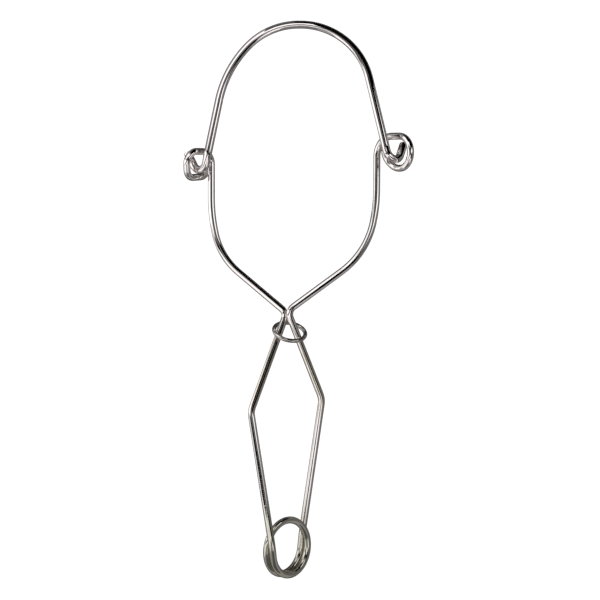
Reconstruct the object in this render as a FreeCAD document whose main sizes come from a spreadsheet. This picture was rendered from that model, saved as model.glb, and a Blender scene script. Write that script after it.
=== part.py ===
import FreeCAD, Part
import math, os

# A wire clothespin that hangs from its bail. Three pieces of round wire make it:
#   the spring wire  - two arms that grow out of one coil and end in eyes at the top,
#   the bail         - a hoop whose two hooked ends sit in those eyes,
#   the closing ring - a small ring round both arms, at the place where they meet.
# The spring wire is drawn as left arm, coil and right arm, because the arms turn about the coil.
# Frame: +Z up, +X to the right, -Y towards the front. The origin is the middle of the bail's
# crown, where the pin hangs. Lengths are in mm and angles in degrees.

SIZES = {
    "spring_wire": 2.0,
    "bail_wire": 2.3,
    "ring_wire": 1.2,
    # coil: its axis runs back and to the left, and its top leans to the right
    "coil_radius": 7.7,
    "coil_pitch": 2.5,
    "coil_turned": 48.0,
    "coil_rolled": 10.0,
    "coil_x": -4.1,
    "coil_z": -146.3,
    "coil_left_lead": 26.6,
    "coil_right_lead": -2.9,
    "coil_lead_length": 4.0,
    "coil_lead_radius": 8.0,
    # closing ring: its front edge hangs low and its right side is lower than its left
    "ring_radius": 4.42,
    "ring_x": -3.45,
    "ring_y": 0.07,
    "ring_z": -86.0,
    "ring_pitched": 32.8,
    "ring_rolled": 12.1,
}

# Corners where the wires are bent, in order along each wire: x, y, z of the corner, then the
# bend radius (0 at a cut end). The eyes are turned so that their outer sides come forward.
BENDS = {
    "bail_left_tip": (-32.1, 2.8, -35.8, 0),
    "bail_left_hook": (-28.0, 0.05, -44.1, 2.45),
    "bail_left_ankle": (-26.4, -1.9, -36.5, 7.0),
    "bail_left_shoulder": (-21.4, 0, -12.4, 30.7),
    "bail_crown_left": (-9.2, 0, 0, 19.7),
    "bail_crown_right": (15.2, 0, 0, 19.7),
    "bail_right_ankle": (23.5, -1.5, -34.6, 6.0),
    "bail_right_hook": (25.6, -3.7, -42.4, 2.45),
    "bail_right_tip": (28.5, 3.4, -33.4, 0),
    "left_eye_tip": (-26.2, 5.75, -40.2, 0),
    "left_eye_last": (-27.7, 4.85, -42.5, 2.2),
    "left_eye_low": (-32.1, -0.1, -42.9, 3.0),
    "left_eye_side": (-32.3, -2.3, -37.9, 3.0),
    "left_eye_high": (-30.6, -1.25, -35.5, 3.0),
    "left_eye_first": (-25.4, 3.4, -35.5, 3.4),
    "left_long": (-25.4, 2.65, -53.3, 48.0),
    "left_waist": (-22.9, 2.15, -65.0, 19.6),
    "left_kink": (-4.3, 1.1, -80.7, 2.6),
    "left_elbow": (-14.3, -2.5, -108.3, 5.6),
    "right_eye_tip": (23.1, 1.7, -35.0, 0),
    "right_eye_last": (23.4, 5.0, -40.2, 3.9),
    "right_eye_low": (30.35, -3.25, -40.2, 4.4),
    "right_eye_high": (30.35, -3.25, -31.2, 4.4),
    "right_eye_first": (21.1, 5.9, -31.2, 5.2),
    "right_long": (20.9, 3.7, -50.5, 45.5),
    "right_waist": (18.3, 2.1, -63.8, 23.2),
    "right_kink": (-4.0, -1.1, -80.2, 2.6),
    "right_elbow": (5.6, 2.1, -104.8, 5.6),
}

doc = FreeCAD.newDocument("wire_clothespin")
sheet = doc.addObject("Spreadsheet::Sheet", "Sizes")
row = 0
for name, value in SIZES.items():
    row += 1
    sheet.set("A%d" % row, name)
    sheet.set("B%d" % row, str(value))
    sheet.setAlias("B%d" % row, name)
for name, values in BENDS.items():
    row += 1
    sheet.set("A%d" % row, name)
    for column, part, value in zip("BCDE", ("across", "depth", "height", "bend"), values):
        sheet.set("%s%d" % (column, row), str(value))
        sheet.setAlias("%s%d" % (column, row), "%s_%s" % (name, part))
doc.recompute()


def size(name):
    return float(sheet.get(name))


def bend(name):
    """The corner of a bend and its radius, from the sheet."""
    corner = FreeCAD.Vector(size(name + "_across"), size(name + "_depth"), size(name + "_height"))
    return corner, size(name + "_bend")


def bent_path(bends):
    """A wire of straight runs joined by tangent arcs: bends holds (corner, bend radius)."""
    edges = []
    start = bends[0][0]
    for before, (corner, radius), after in zip(bends, bends[1:], bends[2:]):
        back = (before[0] - corner).normalize()
        ahead = (after[0] - corner).normalize()
        half = back.getAngle(ahead) / 2
        inwards = (back + ahead).normalize()
        reach = radius / math.tan(half)
        arc_start = corner + back * reach
        arc_middle = corner + inwards * (radius / math.sin(half) - radius)
        arc_end = corner + ahead * reach
        run = (start - arc_start).dot(back)
        if run < -0.001:
            raise ValueError("the bends overlap by %.2f mm at %s" % (-run, corner))
        if run > 0.001:
            edges.append(Part.makeLine(start, arc_start))
        edges.append(Part.Arc(arc_start, arc_middle, arc_end).toShape())
        start = arc_end
    edges.append(Part.makeLine(start, bends[-1][0]))
    return Part.Wire(edges)


# The coil in its own axes: X to the left end's side, Y up, Z along the axis, towards the back.
turned_back = FreeCAD.Rotation(FreeCAD.Vector(0, 0, 1), 180 + size("coil_turned"))
stood_up = FreeCAD.Rotation(FreeCAD.Vector(1, 0, 0), 90)
leaned = FreeCAD.Rotation(FreeCAD.Vector(0, 1, 0), size("coil_rolled"))
coil_turn = leaned * turned_back * stood_up
coil_centre = FreeCAD.Vector(size("coil_x"), 0, size("coil_z"))
first_angle = size("coil_left_lead")
last_angle = 540 - size("coil_right_lead")


def coil_point(angle):
    """A point on the coil's centre line: angle runs from the left side down through the bottom."""
    around = math.radians(angle)
    radius = size("coil_radius")
    along = (angle - 270) / 360 * size("coil_pitch")
    local = FreeCAD.Vector(radius * math.cos(around), -radius * math.sin(around), along)
    return coil_centre + coil_turn.multVec(local)


def coil_direction(angle):
    """The way the coil's wire runs at an angle."""
    around = math.radians(angle)
    radius = size("coil_radius")
    rise = size("coil_pitch") / (2 * math.pi)
    local = FreeCAD.Vector(-radius * math.sin(around), -radius * math.cos(around), rise)
    return coil_turn.multVec(local).normalize()


def arm_bends(side, coil_angle, way):
    """The bends of one arm, from the free end of its eye down to its end of the coil."""
    end = coil_point(coil_angle)
    lead = end + coil_direction(coil_angle) * way * size("coil_lead_length")
    arm = [bend(name) for name in BENDS if name.startswith(side + "_")]
    return arm + [(lead, size("coil_lead_radius")), (end, 0)]


def wire_section(name, alias, point, direction):
    """The round section of a wire, square to its direction at a point."""
    section = doc.addObject("Part::Circle", name)
    section.setExpression("Radius", "Sizes.%s / 2" % alias)
    square_on = FreeCAD.Rotation(FreeCAD.Vector(0, 0, 1), direction)
    section.Placement = FreeCAD.Placement(point, square_on)
    return section


def swept_wire(node, alias, spine, frenet):
    """A node made by sweeping the round section of a wire along a spine."""
    doc.recompute()
    first = spine.Shape.OrderedEdges[0] if spine.Shape.ShapeType == "Wire" else spine.Shape.Edges[0]
    start = first.valueAt(first.FirstParameter)
    direction = first.tangentAt(first.FirstParameter)
    section = wire_section(node + "_section", alias, start, direction)
    wire = doc.addObject("Part::Sweep", node)
    wire.Sections = [section]
    wire.Spine = (spine, ["Edge%d" % (i + 1) for i in range(len(spine.Shape.Edges))])
    wire.Solid = True
    wire.Frenet = frenet
    wire.Label = node
    return wire


def bent_wire(node, alias, bends):
    """A node bent from one length of wire."""
    spine = doc.addObject("Part::Feature", node + "_centre_line")
    spine.Shape = bent_path(bends)
    return swept_wire(node, alias, spine, False)


nodes = {}
bail_bends = [bend(name) for name in BENDS if name.startswith("bail_")]
nodes["bail"] = bent_wire("bail", "bail_wire", bail_bends)
nodes["left_arm"] = bent_wire("left_arm", "spring_wire", arm_bends("left", first_angle, -1))
nodes["right_arm"] = bent_wire("right_arm", "spring_wire", arm_bends("right", last_angle, 1))

helix = doc.addObject("Part::Helix", "spring_coil_centre_line")
helix.LocalCoord = "Left-handed"
helix.setExpression("Radius", "Sizes.coil_radius")
helix.setExpression("Pitch", "Sizes.coil_pitch")
helix.setExpression("Height", "Sizes.coil_pitch * (540 - Sizes.coil_right_lead - Sizes.coil_left_lead) / 360")
helix_start = FreeCAD.Vector(0, 0, (first_angle - 270) / 360 * size("coil_pitch"))
helix.Placement = FreeCAD.Placement(
    coil_centre + coil_turn.multVec(helix_start),
    coil_turn * FreeCAD.Rotation(FreeCAD.Vector(0, 0, 1), -first_angle),
)
nodes["spring_coil"] = swept_wire("spring_coil", "spring_wire", helix, True)

ring = doc.addObject("Part::Torus", "closing_ring")
ring.setExpression("Radius1", "Sizes.ring_radius")
ring.setExpression("Radius2", "Sizes.ring_wire / 2")
ring_pitch = FreeCAD.Rotation(FreeCAD.Vector(1, 0, 0), size("ring_pitched"))
ring_roll = FreeCAD.Rotation(FreeCAD.Vector(0, 1, 0), size("ring_rolled"))
ring_centre = FreeCAD.Vector(size("ring_x"), size("ring_y"), size("ring_z"))
ring.Placement = FreeCAD.Placement(ring_centre, ring_roll * ring_pitch)
ring.Label = "closing_ring"
nodes["closing_ring"] = ring

doc.recompute()

os.makedirs("parts", exist_ok=True)
faults = []
wires = {"bail": "bail_wire", "closing_ring": "ring_wire"}
for node, feature in nodes.items():
    shape = feature.Shape
    if any(state in ("Invalid", "Error") for state in feature.State):
        faults.append("%s did not recompute" % node)
    elif shape.isNull() or not shape.isValid() or len(shape.Solids) != 1:
        faults.append("%s is not one valid solid" % node)
    else:
        # A clean sweep holds the section's area times the length of the centre line.
        if node == "closing_ring":
            length = 2 * math.pi * size("ring_radius")
        else:
            length = doc.getObject(node + "_centre_line").Shape.Length
        expected = math.pi * (size(wires.get(node, "spring_wire")) / 2) ** 2 * length
        if abs(shape.Volume / expected - 1) > 0.005:
            faults.append("%s holds %.1f mm3, not %.1f" % (node, shape.Volume, expected))
        box = shape.BoundBox
        low = (box.XMin, box.YMin, box.ZMin)
        high = (box.XMax, box.YMax, box.ZMax)
        print(node, "%.1f mm of wire," % length, "low (%.2f, %.2f, %.2f)" % low, "high (%.2f, %.2f, %.2f)" % high)
if faults:
    raise SystemExit("; ".join(faults))
for node, feature in nodes.items():
    feature.Shape.exportStep("parts/%s.step" % node)
print("wrote", len(nodes), "parts")
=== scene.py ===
import math

import bpy
import numpy as np
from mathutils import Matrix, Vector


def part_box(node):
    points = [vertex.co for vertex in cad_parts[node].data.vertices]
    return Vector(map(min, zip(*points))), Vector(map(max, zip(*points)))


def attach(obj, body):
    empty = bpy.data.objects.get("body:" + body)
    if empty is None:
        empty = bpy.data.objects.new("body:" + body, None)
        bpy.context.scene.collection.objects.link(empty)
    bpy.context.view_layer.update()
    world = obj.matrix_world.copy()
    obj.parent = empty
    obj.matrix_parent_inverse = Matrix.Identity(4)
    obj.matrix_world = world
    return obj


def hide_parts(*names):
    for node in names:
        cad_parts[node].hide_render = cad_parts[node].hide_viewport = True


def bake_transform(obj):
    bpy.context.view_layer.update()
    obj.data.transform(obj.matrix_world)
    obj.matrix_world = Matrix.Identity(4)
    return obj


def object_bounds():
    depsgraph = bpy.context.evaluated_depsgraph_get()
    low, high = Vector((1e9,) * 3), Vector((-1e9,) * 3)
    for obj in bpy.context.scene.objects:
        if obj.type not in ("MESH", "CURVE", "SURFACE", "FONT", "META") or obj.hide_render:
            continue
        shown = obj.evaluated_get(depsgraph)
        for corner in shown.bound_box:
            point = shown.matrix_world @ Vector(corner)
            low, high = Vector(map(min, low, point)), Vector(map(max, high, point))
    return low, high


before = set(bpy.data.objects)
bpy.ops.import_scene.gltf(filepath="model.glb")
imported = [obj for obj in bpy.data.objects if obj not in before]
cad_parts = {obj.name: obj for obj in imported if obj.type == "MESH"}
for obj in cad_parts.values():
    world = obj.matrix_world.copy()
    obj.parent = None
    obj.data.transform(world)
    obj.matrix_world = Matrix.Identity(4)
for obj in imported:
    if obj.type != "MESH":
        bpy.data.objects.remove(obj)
cad_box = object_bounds()

# A wire clothespin on its bail. Each wire is one smooth tube along the same corners as the CAD,
# with drawing lines along it, a duller surface at its tight bends and sheared ends.
# Sizes of wires are in mm and angles in degrees. MM turns them into the scene's metres.
MM = 0.001
SPRING_WIRE, BAIL_WIRE, RING_WIRE = 2.0, 2.3, 1.2
COIL_RADIUS, COIL_PITCH, COIL_TURNED, COIL_ROLLED = 7.7, 2.5, 48.0, 10.0
COIL_CENTRE = (-4.1, 0.0, -146.3)
COIL_FIRST, COIL_LAST = 26.6, 542.9
LEAD_LENGTH, LEAD_RADIUS = 4.0, 8.0
RING_RADIUS, RING_PITCHED, RING_ROLLED = 4.42, 32.8, 12.1

# how finely the wires are drawn: mm along a wire, degrees along a bend, and points along the
# coil and the ring
STEP, ARC_STEP = 0.45, 5.0
COIL_POINTS, RING_POINTS = 180, 120
# a tight bend flattens the wire by this share, and its radius wanders by this share
FLATTENED, WANDER = 0.055, 0.004
# a cut end, from its face to the full wire: share of the radius, and distance from the end
CUT_END = ((0.25, 0.02), (0.6, 0.01), (0.84, 0.0), (0.93, 0.03), (0.98, 0.09), (1.0, 0.17))
# mm of wire to one unit of the UV layer
UV_LENGTH = 10

# Corners where the wires are bent, in order along each wire: x, y, z of the corner, then the
# bend radius (0 at a cut end). The eyes are turned so that their outer sides come forward.
BENDS = {
    "bail_left_tip": (-32.1, 2.8, -35.8, 0),
    "bail_left_hook": (-28.0, 0.05, -44.1, 2.45),
    "bail_left_ankle": (-26.4, -1.9, -36.5, 7.0),
    "bail_left_shoulder": (-21.4, 0, -12.4, 30.7),
    "bail_crown_left": (-9.2, 0, 0, 19.7),
    "bail_crown_right": (15.2, 0, 0, 19.7),
    "bail_right_ankle": (23.5, -1.5, -34.6, 6.0),
    "bail_right_hook": (25.6, -3.7, -42.4, 2.45),
    "bail_right_tip": (28.5, 3.4, -33.4, 0),
    "left_eye_tip": (-26.2, 5.75, -40.2, 0),
    "left_eye_last": (-27.7, 4.85, -42.5, 2.2),
    "left_eye_low": (-32.1, -0.1, -42.9, 3.0),
    "left_eye_side": (-32.3, -2.3, -37.9, 3.0),
    "left_eye_high": (-30.6, -1.25, -35.5, 3.0),
    "left_eye_first": (-25.4, 3.4, -35.5, 3.4),
    "left_long": (-25.4, 2.65, -53.3, 48.0),
    "left_waist": (-22.9, 2.15, -65.0, 19.6),
    "left_kink": (-4.3, 1.1, -80.7, 2.6),
    "left_elbow": (-14.3, -2.5, -108.3, 5.6),
    "right_eye_tip": (23.1, 1.7, -35.0, 0),
    "right_eye_last": (23.4, 5.0, -40.2, 3.9),
    "right_eye_low": (30.35, -3.25, -40.2, 4.4),
    "right_eye_high": (30.35, -3.25, -31.2, 4.4),
    "right_eye_first": (21.1, 5.9, -31.2, 5.2),
    "right_long": (20.9, 3.7, -50.5, 45.5),
    "right_waist": (18.3, 2.1, -63.8, 23.2),
    "right_kink": (-4.0, -1.1, -80.2, 2.6),
    "right_elbow": (5.6, 2.1, -104.8, 5.6),
}


def unit(v):
    return v / np.linalg.norm(v)


def turn_about(axis, degrees, v):
    """v turned about a main axis by the right-hand rule."""
    a = math.radians(degrees)
    i, j = {"x": (1, 2), "y": (2, 0), "z": (0, 1)}[axis]
    out = np.array(v, float)
    out[i] = v[i] * math.cos(a) - v[j] * math.sin(a)
    out[j] = v[i] * math.sin(a) + v[j] * math.cos(a)
    return out


# ---------------------------------------------------------------- centre lines
def centre_line(bends):
    """Points, directions and local bend (1/mm) along straight runs and tangent arcs."""
    points, bent = [], []
    start = bends[0][0]
    for (before, _), (corner, radius), (after, _) in zip(bends, bends[1:], bends[2:]):
        back, ahead = unit(before - corner), unit(after - corner)
        half = math.acos(float(np.clip(back @ ahead, -1, 1))) / 2
        inwards = unit(back + ahead)
        first = corner + back * radius / math.tan(half)
        last = corner + ahead * radius / math.tan(half)
        middle = corner + inwards * radius / math.sin(half)
        length = np.linalg.norm(first - start)
        n = max(1, round(length / STEP))
        for k in range(n):
            points.append(start + (first - start) * k / n)
            bent.append(0.0)
        turned = math.pi - 2 * half
        ex = unit(first - middle)
        ey = last - middle
        ey = unit(ey - (ey @ ex) * ex)
        n = max(3, round(max(math.degrees(turned) / ARC_STEP, radius * turned / STEP)))
        for k in range(n):
            t = turned * k / n
            points.append(middle + radius * (math.cos(t) * ex + math.sin(t) * ey))
            bent.append(1 / radius)
        start = last
    end = bends[-1][0]
    n = max(1, round(np.linalg.norm(end - start) / STEP))
    for k in range(n + 1):
        points.append(start + (end - start) * k / n)
        bent.append(0.0)
    return np.array(points), np.array(bent)


def coil_point(angle):
    """A point on the coil: the angle runs from its left side down through the bottom (270)."""
    a = math.radians(angle)
    local = (
        COIL_RADIUS * math.cos(a),
        -COIL_RADIUS * math.sin(a),
        (angle - 270) / 360 * COIL_PITCH,
    )
    v = turn_about("x", 90, local)
    v = turn_about("z", 180 + COIL_TURNED, v)
    v = turn_about("y", COIL_ROLLED, v)
    return np.array(COIL_CENTRE) + v


def coil_direction(angle):
    return unit(coil_point(angle + 0.01) - coil_point(angle - 0.01))


def bends_of(prefix):
    wanted = [v for name, v in BENDS.items() if name.startswith(prefix)]
    return [(np.array(v[:3], float), v[3]) for v in wanted]


def arm_line(side):
    angle, way = {"left": (COIL_FIRST, -1), "right": (COIL_LAST, 1)}[side]
    end = coil_point(angle)
    lead = end + coil_direction(angle) * way * LEAD_LENGTH
    return centre_line(bends_of(side + "_") + [(lead, LEAD_RADIUS), (end, 0)])


# ---------------------------------------------------------------- wire meshes
def frames(points, closed=False):
    """Directions and two normals carried along a line without twisting."""
    if closed:
        ahead = np.roll(points, -1, 0) - np.roll(points, 1, 0)
    else:
        ahead = np.gradient(points, axis=0)
    tangents = ahead / np.linalg.norm(ahead, axis=1)[:, None]
    across = (0.0, 1.0, 0.0) if abs(tangents[0][1]) < 0.9 else (1.0, 0.0, 0.0)
    side = unit(np.cross(tangents[0], across))
    sides = []
    for t in tangents:
        side = unit(side - (side @ t) * t)
        sides.append(side)
    sides = np.array(sides)
    return tangents, sides, np.cross(tangents, sides)


def smooth_noise(x, seed):
    """A gentle wander between -1 and 1 along x, the same every run."""
    rng = np.random.default_rng(seed)
    out = np.zeros_like(x)
    for wave in (41.0, 17.0, 7.3, 3.1):
        swing = np.sin(2 * np.pi * (x / wave + rng.random()))
        out += swing * rng.uniform(0.5, 1.0) * (wave / 41.0) ** 0.5
    return out / 2.2


def wire_mesh(
    name, points, bent, wire, seed, ends=(True, True), around=40, shear=(0.0, 0.0), closed=False
):
    """A tube: slightly flattened where it is bent tightly, wandering a few microns, with cut ends.

    ends says which ends are cut faces, and shear how far each leans. A closed wire has neither.
    """
    radius = wire / 2
    tangents, sides, ups = frames(points, closed)
    gaps = np.linalg.norm(np.diff(points, axis=0), axis=1)
    along = np.concatenate([[0.0], np.cumsum(gaps)])
    kernel = np.array([1.0, 2.0, 3.0, 2.0, 1.0]) / 9
    soft = np.convolve(np.pad(bent, 2, mode="wrap" if closed else "edge"), kernel, mode="valid")
    flat = np.clip(soft * radius, 0, 0.5) * FLATTENED
    wander = 1 + WANDER * smooth_noise(along, seed)
    curve = np.gradient(tangents, axis=0)
    size = np.linalg.norm(curve, axis=1)
    turn = 2 * np.pi * np.arange(around) / around
    rows, lines = [], []

    def ring(centre, side, up, grow, squash, inward, tilt=0.0, tangent=None):
        out = np.outer(np.cos(turn), side) + np.outer(np.sin(turn), up)
        if squash > 1e-4:
            out = out - squash * np.outer(out @ inward, inward)
        place = centre + out * grow
        if tilt:
            place = place + np.outer((out @ side) * tilt, tangent)
        return place

    def add(centre, k, grow, distance, tilt=0.0):
        inward = curve[k] / size[k] if size[k] > 1e-6 else sides[k]
        rows.append(ring(centre, sides[k], ups[k], grow, flat[k], inward, tilt, tangents[k]))
        lines.append(distance)

    last = len(points) - 1
    if ends[0]:
        # the sheared face, its rolled edge, then the wire
        for share, back in CUT_END:
            add(points[0] + tangents[0] * back, 0, radius * share, back, shear[0] * share)
    # the rows next to a cut end are left out, because its sheared face reaches past them
    for k in range(2 if ends[0] else 0, last - (1 if ends[1] else -1)):
        add(points[k], k, radius * wander[k], along[k])
    if ends[1]:
        for share, back in reversed(CUT_END):
            centre = points[last] - tangents[last] * back
            add(centre, last, radius * share, along[last] - back, shear[1] * share)
    verts = np.concatenate(rows) * MM
    faces, uvs = [], []
    count = len(rows)
    total = lines[-1] if not closed else along[-1] + np.linalg.norm(points[0] - points[-1])
    pairs = [(k, k + 1) for k in range(count - 1)] + ([(count - 1, 0)] if closed else [])
    for a, b in pairs:
        va, vb = lines[a] / UV_LENGTH, (lines[b] if b else total) / UV_LENGTH
        for j in range(around):
            i = (j + 1) % around
            faces.append((a * around + j, a * around + i, b * around + i, b * around + j))
            u0, u1 = j / around, (j + 1) / around
            uvs += [(u0, va), (u1, va), (u1, vb), (u0, vb)]
    if ends[0]:
        faces.append(tuple(range(around))[::-1])
        uvs += [(0.5, 0.0)] * around
    if ends[1]:
        faces.append(tuple(range((count - 1) * around, count * around)))
        uvs += [(0.5, lines[-1] / UV_LENGTH)] * around
    mesh = bpy.data.meshes.new(name)
    mesh.from_pydata([tuple(v) for v in verts], [], faces)
    mesh.update()
    layer = mesh.uv_layers.new(name="along")
    layer.data.foreach_set("uv", np.array(uvs, np.float32).ravel())
    bend_share = mesh.attributes.new("bend", "FLOAT", "POINT")
    values = np.repeat(np.clip(np.interp(lines, along, soft * radius), 0, 0.6), around)
    bend_share.data.foreach_set("value", values.astype(np.float32))
    mesh.polygons.foreach_set("use_smooth", [True] * len(mesh.polygons))
    mesh.validate()
    piece = bpy.data.objects.new(name, mesh)
    bpy.context.scene.collection.objects.link(piece)
    return piece


# ---------------------------------------------------------------- materials
# painted shade: the olive colour mixed over the coil to darken it
PAINTED_SHADE_OLIVE = (0.60, 0.57, 0.485)
# heights in metres where each treatment starts, is full, starts to fade and is gone
# painted reflection: the heights of the brown tint on the lower arms
PAINTED_BROWN_HEIGHTS = (-0.112, -0.104, -0.092, -0.082)
SCUFFED = (-0.146, -0.138, -0.122, -0.112)
# the painted olive shade on the coil is full below the first height and gone above the second
PAINTED_SHADE_HEIGHTS = (-0.143, -0.128)
DRAWING_DEPTH = 0.00002


def wire_material(name, tint, dull, brown_reflection_tint, rough, lines, wear, seed):
    """Drawn, bright wire: fine lines along it, faint blotches, scuffs and dull tight bends."""
    mat = bpy.data.materials.new(name)
    mat.use_nodes = True
    nt = mat.node_tree
    nt.nodes.clear()
    new, link = nt.nodes.new, nt.links.new
    out, shader = new("ShaderNodeOutputMaterial"), new("ShaderNodeBsdfPrincipled")
    link(shader.outputs["BSDF"], out.inputs["Surface"])
    shader.inputs["Metallic"].default_value = 1.0
    uv = new("ShaderNodeUVMap")
    uv.uv_map = "along"
    place = new("ShaderNodeTexCoord")

    def noise(vector, scale, detail, roughness=0.55):
        n = new("ShaderNodeTexNoise")
        n.inputs["Scale"].default_value = scale
        n.inputs["Detail"].default_value = detail
        n.inputs["Roughness"].default_value = roughness
        link(vector, n.inputs["Vector"])
        return n.outputs["Fac"]

    def stretched(scale):
        m = new("ShaderNodeMapping")
        m.inputs["Scale"].default_value = scale
        m.inputs["Location"].default_value = (seed * 1.7, seed * 0.9, seed)
        link(uv.outputs["UV"], m.inputs["Vector"])
        return m.outputs["Vector"]

    def fit(value, low, high, to_low, to_high):
        r = new("ShaderNodeMapRange")
        r.interpolation_type = "SMOOTHSTEP"
        r.inputs["From Min"].default_value = low
        r.inputs["From Max"].default_value = high
        r.inputs["To Min"].default_value = to_low
        r.inputs["To Max"].default_value = to_high
        link(value, r.inputs["Value"])
        return r.outputs["Result"]

    def maths(operation, a, b):
        m = new("ShaderNodeMath")
        m.operation = operation
        for k, v in enumerate((a, b)):
            if isinstance(v, (int, float)):
                m.inputs[k].default_value = v
            else:
                link(v, m.inputs[k])
        return m.outputs["Value"]

    def between(heights):
        start, full, fade, gone = heights
        return maths("MULTIPLY", fit(up, start, full, 0.0, 1.0), fit(up, fade, gone, 1.0, 0.0))

    height_on = new("ShaderNodeSeparateXYZ")
    link(place.outputs["Object"], height_on.inputs["Vector"])
    up = height_on.outputs["Z"]
    drawing = noise(stretched((46.0, 0.55, 1.0)), 1.0, 4.0)
    fine = noise(stretched((120.0, 2.2, 1.0)), 1.0, 2.0)
    blotches = noise(place.outputs["Object"], 260.0, 4.0, 0.6)
    specks = noise(place.outputs["Object"], 2600.0, 2.0, 0.5)
    scuff_lines = noise(stretched((9.0, 26.0, 1.0)), 1.0, 3.0, 0.7)
    bend = new("ShaderNodeAttribute")
    bend.attribute_name = "bend"
    worn_patches = fit(blotches, 0.56, 0.72, 0.0, 1.0)
    worn = maths("MULTIPLY", worn_patches, fit(scuff_lines, 0.5, 0.66, 0.0, 1.0))
    worn = maths("MULTIPLY", worn, wear)
    bent = fit(bend.outputs["Fac"], 0.12, 0.45, 0.0, 0.6)
    colour = new("ShaderNodeMix")
    colour.data_type = "RGBA"
    colour.inputs["A"].default_value = (*tint, 1)
    colour.inputs["B"].default_value = (*dull, 1)
    shade = maths("ADD", fit(drawing, 0.4, 0.75, 0.0, 0.5), maths("MULTIPLY", bent, 0.35))
    shade = maths("ADD", shade, fit(blotches, 0.45, 0.8, 0.0, 0.5))
    shade = maths("MINIMUM", shade, 1.0)
    link(shade, colour.inputs["Factor"])
    # painted reflection: a darker brown tint over the lower arms between the ring and the elbows
    # stands in for the brown reflections there; scuffs below them
    painted_brown = maths("MULTIPLY", between(PAINTED_BROWN_HEIGHTS), fit(blotches, 0.3, 0.7, 0.35, 1.0))
    scuffed = maths("MULTIPLY", between(SCUFFED), fit(scuff_lines, 0.5, 0.62, 0.0, 0.5))
    painted_brown_mix = new("ShaderNodeMix")
    painted_brown_mix.data_type = "RGBA"
    painted_brown_mix.inputs["B"].default_value = (*brown_reflection_tint, 1)
    link(painted_brown, painted_brown_mix.inputs["Factor"])
    link(colour.outputs["Result"], painted_brown_mix.inputs["A"])
    # painted shade: the coil is darkened with an olive tint that thins out up the arms
    painted_shade = maths("MULTIPLY", fit(up, *PAINTED_SHADE_HEIGHTS, 1.0, 0.0), fit(blotches, 0.2, 0.7, 0.8, 1.0))
    painted_shade_mix = new("ShaderNodeMix")
    painted_shade_mix.data_type = "RGBA"
    painted_shade_mix.inputs["B"].default_value = (*PAINTED_SHADE_OLIVE, 1)
    link(painted_shade, painted_shade_mix.inputs["Factor"])
    link(painted_brown_mix.outputs["Result"], painted_shade_mix.inputs["A"])
    link(painted_shade_mix.outputs["Result"], shader.inputs["Base Color"])
    worn = maths("ADD", worn, scuffed)
    roughness = fit(drawing, 0.35, 0.75, rough * 0.6, rough * 1.7)
    roughness = maths("ADD", roughness, maths("MULTIPLY", worn, 0.26))
    roughness = maths("ADD", roughness, maths("MULTIPLY", bent, 0.05))
    roughness = maths("ADD", roughness, maths("MULTIPLY", painted_brown, 0.05))
    roughness = maths("ADD", roughness, maths("MULTIPLY", painted_shade, 0.02))
    link(roughness, shader.inputs["Roughness"])
    height = maths("ADD", maths("MULTIPLY", drawing, 0.7), maths("MULTIPLY", fine, 0.3))
    height = maths("ADD", height, maths("MULTIPLY", fit(specks, 0.62, 0.75, 0.0, -1.2), wear))
    bump = new("ShaderNodeBump")
    bump.inputs["Strength"].default_value = lines
    bump.inputs["Distance"].default_value = DRAWING_DEPTH
    link(height, bump.inputs["Height"])
    link(bump.outputs["Normal"], shader.inputs["Normal"])
    return mat


# plain, dull and painted-reflection brown colours, roughness, strength of the drawing lines, wear,
# and a seed
spring_finish = wire_material(
    "spring_wire", (0.95, 0.905, 0.885), (0.74, 0.68, 0.65), (0.74, 0.67, 0.56),
    0.022, 0.05, 0.6, 1.0,
)
bail_finish = wire_material(
    "bail_wire", (0.95, 0.89, 0.885), (0.76, 0.70, 0.70), (0.6, 0.55, 0.52),
    0.02, 0.045, 0.4, 4.0,
)
ring_finish = wire_material(
    "ring_wire", (0.74, 0.71, 0.69), (0.5, 0.47, 0.45), (0.45, 0.41, 0.36),
    0.035, 0.08, 0.7, 5.0,
)


# ---------------------------------------------------------------- the pieces
def dress(piece, finish, body, nodes):
    """The piece's material and its entries in the frame. The coil has no body."""
    piece.data.materials.append(finish)
    if body:
        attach(piece, body)
    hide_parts(*nodes)


points, bent = centre_line(bends_of("bail_"))
bail = wire_mesh("bail_wire_form", points, bent, BAIL_WIRE, 11, shear=(0.16, -0.14), around=48)
dress(bail, bail_finish, "bail", ["bail"])

points, bent = arm_line("left")
left = wire_mesh(
    "left_arm_wire", points, bent, SPRING_WIRE, 12, ends=(True, False), shear=(0.14, 0)
)
dress(left, spring_finish, "left_arm", ["left_arm"])

points, bent = arm_line("right")
right = wire_mesh(
    "right_arm_wire", points, bent, SPRING_WIRE, 13, ends=(True, False), shear=(-0.14, 0)
)
dress(right, spring_finish, "right_arm", ["right_arm"])

angles = np.linspace(COIL_FIRST, COIL_LAST, COIL_POINTS)
points = np.array([coil_point(a) for a in angles])
unbent = np.full(COIL_POINTS, 0.0)
coil = wire_mesh("spring_coil_wire", points, unbent, SPRING_WIRE, 14, ends=(False, False))
dress(coil, spring_finish, None, ["spring_coil"])
coil_axis = unit(coil_point(270 + 360) - coil_point(270))
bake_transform(coil)

low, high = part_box("closing_ring")
ring_centre = np.array((low + high) / 2) / MM
points = []
for k in range(RING_POINTS):
    a = 2 * math.pi * k / RING_POINTS
    flat_ring = (RING_RADIUS * math.cos(a), RING_RADIUS * math.sin(a), 0.0)
    v = turn_about("x", RING_PITCHED, flat_ring)
    points.append(ring_centre + turn_about("y", RING_ROLLED, v))
points, unbent = np.array(points), np.full(RING_POINTS, 0.0)
ring = wire_mesh(
    "closing_ring_wire", points, unbent, RING_WIRE, 15, ends=(False, False), around=32, closed=True
)
dress(ring, ring_finish, "closing_ring", ["closing_ring"])


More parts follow.
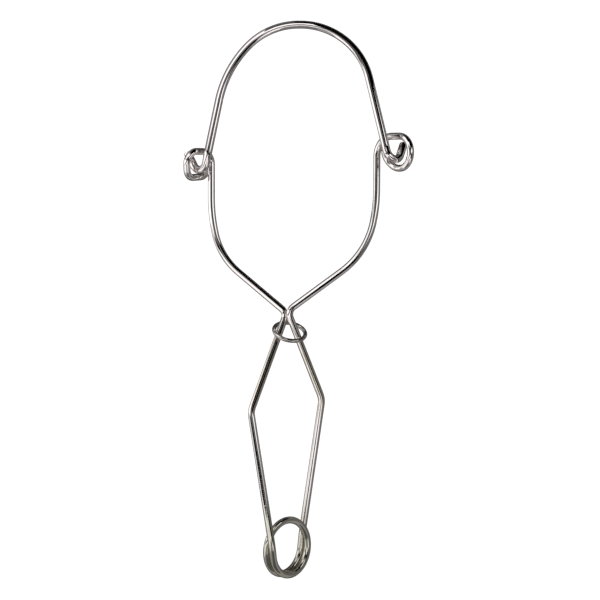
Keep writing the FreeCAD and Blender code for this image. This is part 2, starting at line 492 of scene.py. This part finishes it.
# ---------------------------------------------------------------- floor, light and camera
FLOOR_BELOW, FLOOR_RADIUS, FLOOR_SIDES = 0.012, 1.5, 96
WORLD_LIGHT = 1.1
# the camera is far off, so the view is nearly flat, as in the photo
CAMERA_AWAY, VIEW_WIDTH = 2.0, 0.168
VIEW_ACROSS, VIEW_HEIGHT = -0.00056, -0.0771


def plain(name, colour, glow=0.0):
    """A matt colour, or with glow a black surface that gives off that much white light."""
    mat = bpy.data.materials.new(name)
    mat.use_nodes = True
    shader = mat.node_tree.nodes["Principled BSDF"]
    shader.inputs["Base Color"].default_value = (*colour, 1)
    shader.inputs["Roughness"].default_value = 0.9
    shader.inputs["Specular IOR Level"].default_value = 0.0
    shader.inputs["Emission Color"].default_value = (glow, glow, glow, 1)
    shader.inputs["Emission Strength"].default_value = 1.0 if glow else 0.0
    return mat


floor_z = cad_box[0][2] - FLOOR_BELOW
mesh = bpy.data.meshes.new("pale_floor")
corners = []
for k in range(FLOOR_SIDES):
    a = math.tau * k / FLOOR_SIDES
    corners.append((FLOOR_RADIUS * math.cos(a), FLOOR_RADIUS * math.sin(a), floor_z))
mesh.from_pydata(corners, [], [tuple(range(FLOOR_SIDES))])
floor = bpy.data.objects.new("pale_floor", mesh)
floor.data.materials.append(plain("pale_floor", (0.95, 0.95, 0.95)))
bpy.context.scene.collection.objects.link(floor)
floor.visible_glossy = False

# The light tent: plain panels round the object that only its reflections see. Each panel is given
# by its place round the front axis (0 right, 90 up), its angle off that axis, and its tone. Later
# panels hang a little nearer, so they cover earlier ones.
TENT_CENTRE = np.array((-0.001, 0.0, -0.077))
TENT_RADIUS, TENT_NEARER = 0.236, 0.0005
TENT_LIGHT, TONE_CURVE = 1.12, 2.2
PANEL_STEP = 6
TENT = [
    ("grey_wall", (0, 360), (0, 180), 0.58),
    ("back_wall", (0, 360), (104, 180), 0.58),
    ("back_top", (36, 162), (110, 168), 0.24),
    ("back_low", (200, 330), (114, 168), 0.3),
    ("back_right", (-60, 40), (108, 180), 0.4),
    ("right_wall", (-34, 22), (62, 112), 0.42),
    ("ceiling", (30, 94), (26, 106), 0.06),
    ("ceiling_front", (38, 92), (8, 28), 0.12),
    ("ceiling_edge", (92, 110), (52, 98), 0.28),
    ("ceiling_black", (22, 58), (50, 90), 0.0),
    ("top_light", (84, 104), (27, 40), 1.1),
    ("top_light_far", (84, 113), (38, 52), 1.06),
    ("left_high", (110, 152), (44, 76), 1.06),
    ("left_front_flag", (112, 146), (12, 38), 0.08),
    ("left_middle_flag", (143, 158), (12, 52), 0.02),
    ("left_wall", (157, 181), (44, 108), 1.06),
    ("left_side", (180, 196), (60, 108), 0.84),
    ("left_flag", (169, 193), (9, 26), 0.0),
    ("left_flag_middle", (177, 193), (24, 46), 0.0),
    ("left_flag_far", (184, 194), (44, 68), 0.0),
    ("left_light_low", (194, 228), (4, 86), 1.0),
    ("low_light", (222, 350), (0, 15), 1.06),
    ("low_left_light", (222, 256), (14, 23), 0.95),
    ("low_left_grey", (227, 272), (24, 35), 0.24),
    ("low_grey", (250, 302), (50, 90), 0.34),
    ("low_right_light", (292, 322), (20, 54), 1.0),
    ("low_right_flag", (323, 366), (16, 51), 0.05),
    ("right_grey", (334, 368), (52, 92), 0.4),
    ("right_edge_light", (6, 15), (28, 62), 0.72),
    ("right_light", (14, 34), (28, 64), 1.06),
    ("camera_flag_right", (-6, 42), (7, 26), 0.04),
    ("camera_flag", (20, 196), (0, 9), 0.28),
]


def tent_panel(name, around, off_axis, tone, layer):
    across = max(2, round((around[1] - around[0]) / PANEL_STEP))
    down = max(2, round((off_axis[1] - off_axis[0]) / PANEL_STEP))
    radius = TENT_RADIUS - TENT_NEARER * layer
    verts, faces = [], []
    for j in range(down + 1):
        off = math.radians(off_axis[0] + (off_axis[1] - off_axis[0]) * j / down)
        for i in range(across + 1):
            at = math.radians(around[0] + (around[1] - around[0]) * i / across)
            reach = math.sin(off)
            way = np.array((reach * math.cos(at), -math.cos(off), reach * math.sin(at)))
            verts.append(tuple(TENT_CENTRE + way * radius))
    for j in range(down):
        for i in range(across):
            k = j * (across + 1) + i
            faces.append((k, k + 1, k + across + 2, k + across + 1))
    mesh = bpy.data.meshes.new(name)
    mesh.from_pydata(verts, [], faces)
    panel = bpy.data.objects.new(name, mesh)
    light = TENT_LIGHT * tone**TONE_CURVE
    panel.data.materials.append(plain(name, (0, 0, 0), glow=light))
    bpy.context.scene.collection.objects.link(panel)
    panel.visible_camera = panel.visible_diffuse = False
    panel.visible_shadow = panel.visible_transmission = False


for layer, (name, around, off_axis, tone) in enumerate(TENT):
    tent_panel("tent_" + name, around, off_axis, tone, layer)

world = bpy.data.worlds.new("studio")
bpy.context.scene.world = world
world.use_nodes = True
world.node_tree.nodes["Background"].inputs["Color"].default_value = (1, 1, 1, 1)
world.node_tree.nodes["Background"].inputs["Strength"].default_value = WORLD_LIGHT

lens = bpy.data.cameras.new("front")
lens.sensor_width = 36
lens.lens = lens.sensor_width * CAMERA_AWAY / VIEW_WIDTH
lens.clip_start, lens.clip_end = 0.01, 10
camera = bpy.data.objects.new("front", lens)
camera.location = (VIEW_ACROSS, -CAMERA_AWAY, VIEW_HEIGHT)
camera.rotation_euler = (math.radians(90), 0, 0)
bpy.context.scene.collection.objects.link(camera)
bpy.context.scene.camera = camera
bpy.context.scene.view_settings.view_transform = "Standard"

bpy.context.view_layer.update()
